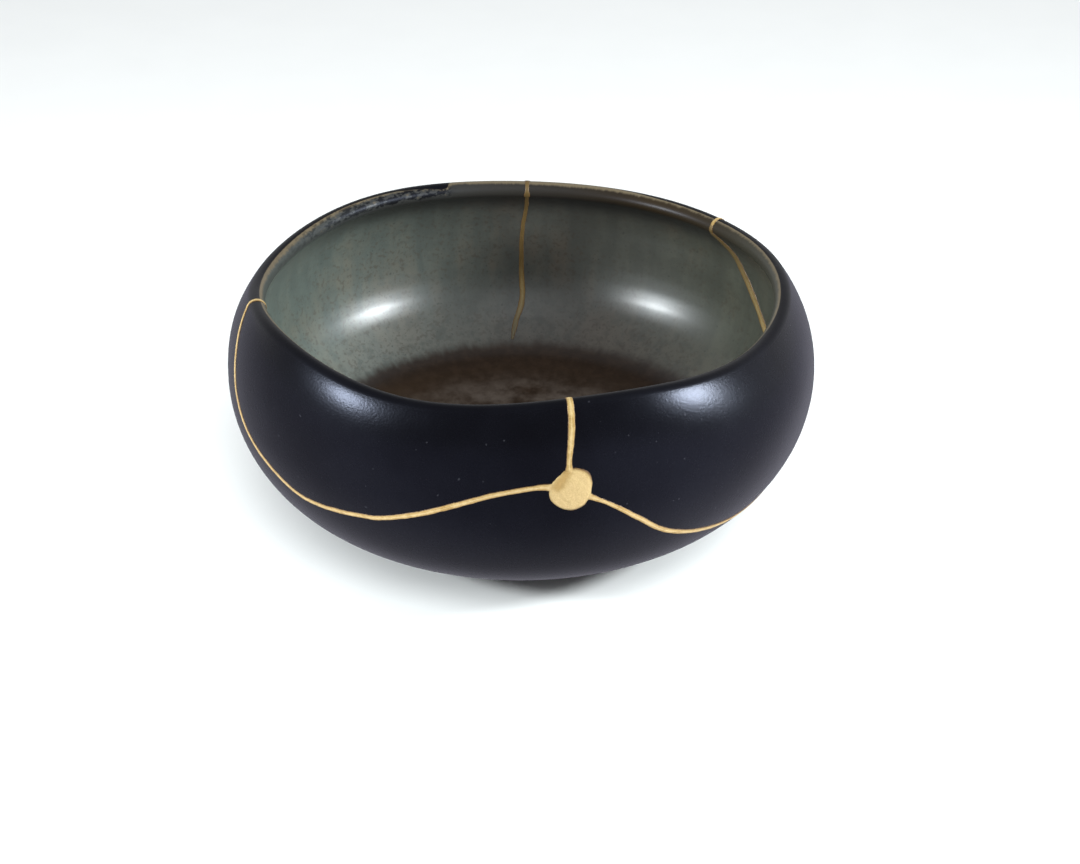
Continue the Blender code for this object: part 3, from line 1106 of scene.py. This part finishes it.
@dataclass
class BrokenBowl:
    """The stoneware: the body and the two sherds, with the cracks between them.

    Sizes are in millimetres, the waver's scale is per metre and the merge gap is in metres. The
    throwing rings start at the first of two runs and are full at the second, and even_foot gives
    the heights between which the wall's unevenness fades in.
    """

    shape: BowlShape
    finish: bpy.types.Material
    steps_round: int = 480
    ring_pitch: float = 4.3
    ring_depth: float = 0.10
    rings_on_wall: tuple[float, float] = (9.0, 24.0)
    rings_on_floor: tuple[float, float] = (50.0, 72.0)
    wall_share: float = 0.25
    waver_depth: float = 0.10
    waver_scale: float = 38.0
    waver_seed: float = 7.0
    even_foot: tuple[float, float] = (1.2, 5.0)
    merge_gap: float = 1e-6
    plug_radius: float = 4.6
    plug_sides: int = 48
    cut_steps: int = 5
    cut_outwards: float = 3.0
    cut_inwards: float = 12.0
    cut_over_lip: float = 5.0
    sharp_angle: float = 38.0

    def build(self) -> dict[Node, bpy.types.Object]:
        """Turn the bowl and break it.

        Returns:
            The three pieces, by the solids that they stand for.
        """
        bowl = self._turn()
        for crack in CRACKS:
            combine(bowl, self._slot(crack), "DIFFERENCE")
        combine(bowl, self._plug(), "DIFFERENCE")
        body, *sherds = split_loose(bowl)[:3]
        sherds.sort(key=lambda sherd: sum(corner[0] for corner in sherd.bound_box))
        pieces = {Node.BODY: body, Node.LEFT_SHERD: sherds[0], Node.RIGHT_SHERD: sherds[1]}
        for node, piece in pieces.items():
            run = self.shape.run_of(points_of(piece.data)).astype(np.float32)
            dress(piece, f"stoneware_{node.value}", "run", run, self.finish, self.sharp_angle)
        return pieces

    def _recipe(self) -> Recipe:
        """Write the recipe that turns a section, makes it uneven and closes its poles."""
        recipe = Recipe("turned_wall")
        steps = recipe.size("Steps Round", "Int")
        waist, crest, pitch, ring_depth, waver_depth, seed = recipe.sizes(
            "Even Below", "Crest Height", "Ring Pitch", "Ring Depth", "Waver Depth", "Seed"
        )
        values = {"Curve": recipe.circle(steps, 1.0, "turn"), "Profile Curve": recipe.guide()}
        swept = recipe.add("GeometryNodeCurveToMesh", values)
        turn, reach, rise, run = recipe.read("turn", "reach", "rise", "run")
        fade = recipe.band(rise, waist, crest)
        lift, spread = (
            sum(
                recipe.maths("COSINE", (turn - math.radians(top)) * count) * size
                for count, size, top in waves
            )
            for waves in (self.shape.rises, self.shape.spreads)
        )
        radius = reach + fade * spread
        across = recipe.maths("COSINE", turn) * radius
        ahead = recipe.maths("SINE", turn) * radius
        spot = recipe.scaled(recipe.combined(across, ahead, rise + fade * lift), MM)
        values = {"Geometry": recipe.moved(swept, Position=spot), "Distance": self.merge_gap}
        wall = recipe.add("GeometryNodeMergeByDistance", values)
        normal = recipe.add("GeometryNodeInputNormal")
        position = recipe.add("GeometryNodeInputPosition")
        spiral = recipe.maths("COSINE", run / pitch * math.tau + turn) * 0.5 - 0.5
        on_floor = recipe.band(run, *self.rings_on_floor)
        on_wall = recipe.band(run, *self.rings_on_wall) * self.wall_share
        waver = recipe.grain(position, self.waver_scale, 1.0, 0.5, seed) - 1.0
        depth = spiral * ring_depth * (on_floor + on_wall) + waver * waver_depth
        depth = depth * recipe.band(rise, *self.even_foot)
        wall = recipe.moved(wall, Offset=recipe.scaled(normal, depth * MM))
        recipe.close(wall, self.finish)
        return recipe

    def _turn(self) -> bpy.types.Object:
        """Return the whole unbroken bowl."""
        reach, rise = self.shape.section.T
        flat = np.stack([reach, rise, np.zeros(len(reach))], axis=1) * MM
        guide = polyline("section", flat, {"reach": reach, "rise": rise, "run": self.shape.run})
        sizes = {
            "Steps Round": self.steps_round,
            "Even Below": self.shape.outside.height,
            "Crest Height": self.shape.crest,
            "Ring Pitch": self.ring_pitch,
            "Ring Depth": self.ring_depth,
            "Waver Depth": self.waver_depth,
            "Seed": self.waver_seed,
        }
        return self._recipe().make(guide, "stoneware", sizes)

    def _slot(self, crack: Crack) -> bpy.types.Object:
        """Make the band that a crack takes out of the wall, narrower than the seam that laps it."""
        route = crack.route(self.cut_steps)
        azimuth, height = crack.places[-1]
        if height == LIP_EDGE:
            route = np.concatenate([route, [(azimuth, LIP_EDGE + self.cut_over_lip)]])
        reaches = (0.0, self.cut_outwards, -self.cut_inwards)
        middle, outer, inner = (self._off_wall(route, reach) for reach in reaches)
        following = np.concatenate([middle[1:], middle[-1:]])
        side = np.cross(following - np.concatenate([middle[:1], middle[:-1]]), outer - inner)
        side *= 0.5 * crack.cut * MM / np.linalg.norm(side, axis=1, keepdims=True)
        corners = np.stack([outer + side, outer - side, inner - side, inner + side], axis=1)
        return skin(f"{crack.name}_slot", list(corners), True)

    def _off_wall(self, route: np.ndarray, reach: float) -> np.ndarray:
        """Return points that stand off the outer face, square to it, by a reach outwards."""
        shape, step = self.shape, 0.01
        edge_radius, edge_height = shape.lip_point(shape.outside.lip_turn)
        height = route[:, 1]
        below = shape.face_radius(shape.outside, height)
        slope = (shape.face_radius(shape.outside, height + step) - below) / step
        lean = -math.tan(math.radians(shape.outside.lip_turn))
        above = height >= edge_height
        slope = np.where(above, lean, slope)
        radius = np.where(above, edge_radius + (height - edge_height) * lean, below)
        size = np.hypot(1.0, slope)
        return shape.turned(route[:, 0], radius + reach / size, height - reach * slope / size)

    def _plug(self) -> bpy.types.Object:
        """Make the round plug that the impact takes out of the wall."""
        spot = np.array([IMPACT])
        reaches = (self.cut_outwards, -self.cut_inwards)
        outer, inner = (self._off_wall(spot, reach)[0] for reach in reaches)
        axis = Vector(outer - inner).normalized()
        across = Vector((0.0, 0.0, 1.0)).cross(axis).normalized()
        upwards = axis.cross(across)
        turns = np.linspace(0.0, math.tau, self.plug_sides, endpoint=False)
        spokes = [across * math.cos(turn) + upwards * math.sin(turn) for turn in turns]
        rings = [
            np.array([Vector(end) + spoke * self.plug_radius * MM for spoke in spokes])
            for end in (outer, inner)
        ]
        return skin("impact_plug", rings, True)


# ---- The gold ----


@dataclass
class GoldSeams:
    """The seams of gold lacquer and the round fill at the impact.

    Sizes are in millimetres, the scales are per metre and the same-point gap is in metres. The
    fill's outline is angles with their radii. Each crease is where it starts and ends on the fill,
    how wide it is and how deep.
    """

    shape: BowlShape
    finish: bpy.types.Material
    spacing: float = 0.42
    path_steps: int = 12
    lip_steps: int = 22
    section_points: int = 20
    proud: float = 0.19
    tuck: float = 0.05
    wobble: float = 0.16
    wobble_scale: float = 330.0
    hammer: float = 0.07
    hammer_scale: float = 900.0
    wander: float = 0.10
    knob_reach: float = 2.6
    knob_swell: float = 0.08
    root_gap: float = 0.35
    fill_proud: float = 0.34
    fill_beat: float = 0.055
    fill_least: float = 0.03
    fill_rings: int = 26
    fill_sides: int = 112
    fill_ragged: float = 0.16
    sharp_angle: float = 50.0
    same_point: float = 2e-6
    path_blur: tuple[float, ...] = (0.1, 0.24, 0.32, 0.24, 0.1)
    fill_blur: tuple[float, ...] = (0.12, 0.22, 0.32, 0.22, 0.12)
    fill_outline: tuple[tuple[float, float], ...] = (
        (0.0, 5.35), (16.0, 5.7), (28.0, 5.95), (41.0, 5.95), (54.0, 5.55), (68.0, 5.1),
        (84.0, 5.0), (108.0, 4.9), (122.0, 4.4), (132.0, 4.45), (144.0, 4.65), (155.0, 4.95),
        (190.0, 5.55), (202.0, 5.6), (228.0, 5.3), (252.0, 5.25), (275.0, 5.45), (297.0, 5.6),
        (319.0, 5.5), (341.0, 5.4),
    )
    creases: tuple[tuple[float, float, float, float, float, float], ...] = (
        (0.8, 5.2, -2.4, 1.2, 0.5, 0.16), (-2.4, 1.2, -4.6, 0.6, 0.6, 0.10),
        (-4.2, -2.6, -1.6, -4.6, 0.5, 0.12), (-3.0, -1.2, -0.4, -3.8, 0.4, 0.09),
        (1.4, 3.4, 3.9, 0.8, 0.5, 0.06),
    )

    def build(self) -> dict[Node, bpy.types.Object]:
        """Lay the gold.

        Returns:
            The two seams, by the solids that they stand for.
        """
        recipe = self._recipe()
        *beads, back = [self._bead(recipe, crack) for crack in CRACKS]
        front = self._fill()
        edges = [self._edges_of(piece) for piece in [front] + beads]
        for bead in beads:
            combine(front, bead, "UNION")
        self._dress(front, "gold_front_seam", edges)
        self._dress(back, "gold_back_seam", [self._edges_of(back)])
        return {Node.FRONT_SEAM: front, Node.BACK_SEAM: back}

    def _recipe(self) -> Recipe:
        """Write the recipe that lays a bead of gold along a path on the wall."""
        recipe = Recipe("gold_bead")
        count = recipe.size("Section Points", "Int")
        proud, tuck, wobble, wobble_scale, hammer, hammer_scale, wander, seed = recipe.sizes(
            "Proud", "Tuck", "Wobble", "Wobble Scale", "Hammer", "Hammer Scale", "Wander", "Seed"
        )
        ring = recipe.circle(count, 0.001, "around")
        values = {"Curve": recipe.guide(), "Profile Curve": ring, "Fill Caps": True}
        bead = recipe.add("GeometryNodeCurveToMesh", values)
        around, breadth, root, swell = recipe.read("around", "breadth", "root", "swell")
        centre, upright, sideways = recipe.read(
            "centre", "upright", "sideways", kind="FLOAT_VECTOR"
        )
        across = recipe.maths("COSINE", around)
        above = recipe.maths("SINE", around)
        drift = recipe.grain(centre, wobble_scale * 0.5, 1.0, 0.5, seed) - 0.5
        side_seed = recipe.band(across, -0.3, 0.3) * 9.0 + seed + 3.0
        ragged = recipe.grain(centre, wobble_scale, 3.0, 0.6, side_seed) - 0.5
        half = breadth * (ragged * wobble * 4.0 + 1.0)
        on_top = recipe.band(above, -0.12, 0.05)
        shaft = recipe.band(above, -0.15, -0.42)
        lateral = across * half * (1.0 - shaft * 0.55) + drift * wander * 2.0 * MM
        dome = recipe.maths("POWER", recipe.maths("MAXIMUM", above, 0.0), 0.75)
        spot = recipe.vector("ADD", centre, recipe.scaled(sideways, lateral))
        beaten = recipe.grain(spot, hammer_scale, 2.0, 0.55, seed + 20.0) - 0.5
        height = dome * (proud * swell + beaten * hammer * 2.0) - tuck
        depth = recipe.maths("MAXIMUM", -above - 0.12, 0.0) / 0.88
        lift = height * on_top * MM - recipe.maths("POWER", depth, 0.6) * root
        lift = lift - (1.0 - on_top) * (tuck + 0.16) * MM
        spot = recipe.vector("ADD", spot, recipe.scaled(upright, lift))
        bead = recipe.moved(bead, Position=spot)
        recipe.close(recipe.store(bead, "edge", recipe.maths("ABSOLUTE", across)), self.finish)
        return recipe

    def _bead(self, recipe: Recipe, crack: Crack) -> bpy.types.Object:
        """Lay the seam of one crack, up the outer face, over the lip and down the inner face."""
        shape = self.shape
        route = crack.route(self.path_steps)
        outer = shape.outer_run(route[:, 1])
        inner = shape.through(outer)
        lip = np.linspace(outer[-1], inner[-1], self.lip_steps)[1:-1]
        azimuth = np.concatenate([route[:, 0], np.full(len(lip), route[-1, 0]), route[::-1, 0]])
        run = np.concatenate([outer, lip, inner[::-1]])
        along = self._lengths(azimuth, run)
        even = np.linspace(0.0, along[-1], int(along[-1] / (self.spacing * MM)))
        azimuth, run = (self._softened(np.interp(even, along, each)) for each in (azimuth, run))
        up, down = along[[len(route) - 1, len(route) + len(lip)]]
        knob = np.exp(-(((even - 0.5 * (up + down)) / (self.knob_reach * MM)) ** 4))
        width = np.where(
            even < down,
            np.interp(np.clip(even / up, 0.0, 1.0), *zip(*crack.outer_widths)),
            np.interp(
                np.clip((even - down) / (along[-1] - down), 0.0, 1.0), *zip(*crack.inner_widths)
            ),
        )
        width = width * (1.0 + (crack.knob - 1.0) * knob)
        centre = shape.at(azimuth, run)
        upright = shape.upright(azimuth, run)
        sideways = np.cross(np.gradient(centre, axis=0), upright)
        sideways /= np.linalg.norm(sideways, axis=1, keepdims=True)
        wall = shape.at(route[:, 0], outer) - shape.at(route[:, 0], inner)
        half = 0.5 * np.linalg.norm(wall, axis=1)
        on_lip = np.full(len(lip), 0.5 * (half[-1] + 2.0 * MM))
        root = np.interp(even, along, np.concatenate([half, on_lip, half[::-1]]))
        kept = {
            "centre": centre,
            "upright": upright,
            "sideways": sideways,
            "breadth": 0.5 * width * MM,
            "root": self._softened(root - self.root_gap * MM),
            "swell": 1.0 + self.knob_swell * knob,
        }
        sizes = {
            "Section Points": self.section_points,
            "Proud": self.proud,
            "Tuck": self.tuck,
            "Wobble": self.wobble,
            "Wobble Scale": self.wobble_scale,
            "Hammer": self.hammer,
            "Hammer Scale": self.hammer_scale,
            "Wander": self.wander,
            "Seed": float(len(crack.name)) + 0.5 * len(crack.places),
        }
        guide = polyline(f"{crack.name}_path", centre, kept)
        return recipe.make(guide, f"{crack.name}_bead", sizes)

    def _lengths(self, azimuth: np.ndarray, run: np.ndarray) -> np.ndarray:
        """Return the length of a path on the wall up to each of its places, in metres."""
        steps = np.linalg.norm(np.diff(self.shape.at(azimuth, run), axis=0), axis=1)
        return np.concatenate([[0.0], np.cumsum(steps)])

    def _softened(self, values: np.ndarray) -> np.ndarray:
        """Return values averaged with their neighbours, the ends kept."""
        padded = np.concatenate([values[:1]] * 2 + [values] + [values[-1:]] * 2)
        soft = np.convolve(padded, self.path_blur, "valid")
        soft[[0, -1]] = values[[0, -1]]
        return soft

    def _fill(self) -> bpy.types.Object:
        """Make the round fill: a low cap on each face of the wall and the plug between them."""
        outer = self.shape.outer_run(np.array([IMPACT[1]]))
        runs = (float(outer[0]), float(self.shape.through(outer)[0]))
        turns = np.linspace(0.0, 360.0, self.fill_sides, endpoint=False)
        angles, radii = zip(*self.fill_outline)
        outline = np.interp(turns, (*angles, 360.0), (*radii, radii[0]))
        outline = np.concatenate([outline[-2:], outline, outline[:2]])
        outline = np.convolve(outline, self.fill_blur, "valid")
        ways = [Vector((math.cos(turn), math.sin(turn), 0.3)) for turn in map(math.radians, turns)]
        outline = outline + self.fill_ragged * np.array([noise.noise(way * 4.5) for way in ways])
        shares = np.linspace(0.0, 1.0, self.fill_rings + 1)[1:]
        stations = [(share, 1.0) for share in shares] + [(0.985, -1.0), (0.8, -2.0)]
        marks = [share if kind > 0.0 else 1.0 for share, kind in stations]
        rings = []
        for face, centre in zip((-1.0, 1.0), runs):
            made = [
                self._fill_ring(turns, outline * share, share, kind, centre, face)
                for share, kind in stations
            ]
            rings += made if face < 0.0 else made[::-1]
        fill = skin("impact_fill", rings, False)
        nearness = [share ** 3 for share in marks + marks[::-1] for _ in turns] + [0.0, 0.0]
        fill.data.attributes.new("edge", "FLOAT", "POINT").data.foreach_set("value", nearness)
        return fill

    def _fill_ring(
        self, turns: np.ndarray, radius: np.ndarray, share: float, kind: float, centre: float,
        face: float,
    ) -> np.ndarray:
        """Return one ring of the fill.

        Args:
            turns: Angles round the fill, in degrees.
            radius: Its distance from the middle at each.
            share: That distance as a share of the outline.
            kind: 1 on the cap, -1 on its underside, -2 on the plug.
            centre: The run of the fill's middle.
            face: -1 for the outer face, 1 for the inner.

        Returns:
            The ring's points in metres.
        """
        right = radius * np.cos(np.radians(turns))
        up = radius * np.sin(np.radians(turns))
        run = centre - face * up
        azimuth = IMPACT[0] + np.degrees(right / self.shape.section_at(run)[0])
        points = self.shape.at(azimuth, run)
        upright = self.shape.upright(azimuth, run)
        if kind < 0.0:
            depth = 0.3 if kind > -1.5 else 0.5
            return points - upright * depth * MM
        dome = self.fill_proud * (1.0 - share ** 6) ** 0.5
        spots = [Vector((x, y, 3.0 * face)) * 0.9 for x, y in zip(right, up)]
        beat = np.array([noise.fractal(spot, 0.7, 2.1, 4) for spot in spots])
        lift = dome + beat * self.fill_beat * min(1.0, 6.0 * (1.0 - share))
        for x0, y0, x1, y1, width, depth in self.creases:
            side = np.array([x1 - x0, y1 - y0])
            along = ((right - x0) * side[0] + (up - y0) * side[1]) / (side @ side)
            along = np.clip(along, 0.0, 1.0)
            gap = np.hypot(right - x0 - along * side[0], up - y0 - along * side[1])
            lift = lift - depth * np.exp(-((gap / width) ** 2)) * min(1.0, 5.0 * (1.0 - share))
        return points + upright * (np.maximum(lift, self.fill_least) - self.tuck)[:, None] * MM

    @staticmethod
    def _edges_of(piece: bpy.types.Object) -> tuple[np.ndarray, np.ndarray]:
        """Return a piece's points and how near each is to the gold's edge."""
        values = np.empty(len(piece.data.vertices), dtype=np.float32)
        piece.data.attributes["edge"].data.foreach_get("value", values)
        return points_of(piece.data), values

    def _dress(
        self, piece: bpy.types.Object, name: str, edges: list[tuple[np.ndarray, np.ndarray]]
    ) -> None:
        """Name a seam, keep its edges at its points, and make it ready for the frame.

        Args:
            piece: The seam.
            name: Its new name.
            edges: Points of the beads that it was made of, with their nearness to the edge.
        """
        points, values = (np.concatenate(each) for each in zip(*edges))
        tree = kdtree.KDTree(len(points))
        for index, point in enumerate(points):
            tree.insert(point, index)
        tree.balance()
        near = []
        for vertex in piece.data.vertices:
            found = tree.find_n(vertex.co, 3)
            reach = found[0][2] + self.same_point
            near.append(min(float(values[index]) for _, index, far in found if far < reach))
        dress(piece, name, "edge", near, self.finish, self.sharp_angle)


# ---- Studio ----


@dataclass(frozen=True)
class Lamp:
    """A soft light: its place seen from the bowl, its sizes in metres and its power in watts."""

    name: str
    azimuth: float
    elevation: float
    distance: float
    width: float
    height: float
    power: float
    mirrored: bool


@dataclass
class Studio:
    """The camera, the soft lights, a pale surround and the floor. Sizes are in metres."""

    finish: bpy.types.Material
    eye: tuple[float, float, float] = (0.0051, -0.7418, 0.4345)
    pitch: float = 29.23
    lens: float = 102.17
    sensor: float = 36.0
    lamp_aim: tuple[float, float, float] = (0.0, 0.0, 0.04)
    lamp_colour: Colour = (0.93, 0.99, 1.0)
    lamps: tuple[Lamp, ...] = (
        Lamp("left", -155.5, 18.2, 0.45, 0.095, 0.064, 2.1, True),
        Lamp("right", -15.5, 18.6, 0.30, 0.076, 0.045, 1.18, True),
        Lamp("front", -90.0, 49.2, 1.53, 0.9, 0.9, 17.4, False),
        Lamp("side", 0.0, 49.2, 1.53, 0.9, 0.9, 6.0, False),
    )
    overhead: float = 0.40
    backdrop: float = 0.5
    below: float = 0.78
    skirt: float = 0.16
    rear_glow: float = -0.42
    side_glow: float = 0.60
    left_glow: float = 0.30
    above_colour: Colour = (1.0, 1.0, 1.0)
    below_colour: Colour = (0.86, 0.85, 1.0)
    floor_size: float = 8.0
    floor_squares: int = 8

    def build(self) -> None:
        """Set the camera, the lights and the floor."""
        self._camera()
        for lamp in self.lamps:
            self._lamp(lamp)
        self._surround()
        self._floor()
        bpy.context.scene.view_settings.view_transform = "Standard"

    def _camera(self) -> None:
        """Set the camera."""
        data = bpy.data.cameras.new("camera")
        data.lens = self.lens
        data.sensor_width = self.sensor
        camera = bpy.data.objects.new("camera", data)
        camera.location = self.eye
        camera.rotation_euler = (math.radians(90.0 - self.pitch), 0.0, 0.0)
        bpy.context.collection.objects.link(camera)
        bpy.context.scene.camera = camera

    def _lamp(self, lamp: Lamp) -> None:
        """Set one soft light, which faces the bowl."""
        data = bpy.data.lights.new(f"{lamp.name}_light", "AREA")
        data.shape = "ELLIPSE"
        data.color = self.lamp_colour
        data.size = lamp.width
        data.size_y = lamp.height
        data.energy = lamp.power
        turn, rise = math.radians(lamp.azimuth), math.radians(lamp.elevation)
        level = math.cos(rise)
        way = Vector((math.cos(turn) * level, math.sin(turn) * level, math.sin(rise)))
        light = bpy.data.objects.new(f"{lamp.name}_light", data)
        light.location = way * lamp.distance + Vector(self.lamp_aim)
        light.rotation_euler = way.to_track_quat("Z", "Y").to_euler()
        light.visible_glossy = lamp.mirrored
        bpy.context.collection.objects.link(light)

    def _surround(self) -> None:
        """Make the surroundings: dim overhead, paler behind, and below the table's edge."""
        world = bpy.data.worlds.new("surround")
        world.use_nodes = True
        net = Net(world.node_tree)
        side, back, up = net.parts(net.add("ShaderNodeTexCoord", result="Generated"))
        low = net.band(up, 0.0, -0.08)
        above = net.band(back, 0.0, 0.8) * net.band(up, 0.75, 0.0) * self.backdrop + self.overhead
        below = net.band(up, -0.30, -0.90) * self.skirt
        below = below + net.band(back, -0.4, 0.3) * self.rear_glow
        below = below + net.band(side, 0.1, 0.8) * self.side_glow
        below = below + net.band(side, -0.1, -0.8) * self.left_glow + self.below
        values = {
            "Color": net.tint(low, self.above_colour, self.below_colour),
            "Strength": above + low * (below - above),
        }
        net.plug(world.node_tree.nodes["Background"], values)
        bpy.context.scene.world = world

    def _floor(self) -> None:
        """Lay the floor."""
        mesh = bmesh.new()
        squares = {"x_segments": self.floor_squares, "y_segments": self.floor_squares}
        bmesh.ops.create_grid(mesh, size=0.5 * self.floor_size, **squares)
        floor = mesh_object("floor", mesh)
        floor.data.materials.append(self.finish)
        floor.visible_glossy = False


# ---- Assembly ----


def enter(pieces: dict[Node, bpy.types.Object]) -> None:
    """Put pieces into the frame in place of their solids.

    Args:
        pieces: The pieces, by the solids that they stand for.
    """
    for node, piece in pieces.items():
        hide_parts(node.value)
        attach(piece, "root")
        faces = sum(len(polygon.vertices) - 2 for polygon in piece.data.polygons)
        LOG.info("%s: %d triangles, in place of %s", piece.name, faces, node.value)


def main() -> None:
    """Build the bowl and its studio."""
    logging.basicConfig(level=logging.INFO, format="%(name)s: %(message)s")
    shape = BowlShape()
    enter(BrokenBowl(shape, Stoneware().build()).build())
    middle = shape.at(np.array([IMPACT[0]]), shape.outer_run(np.array([IMPACT[1]])))[0]
    gold = GoldLacquer(middle=tuple(float(value) for value in middle))
    enter(GoldSeams(shape, gold.build()).build())
    Studio(TableTop().build()).build()


if __name__ == "__main__":
    main()
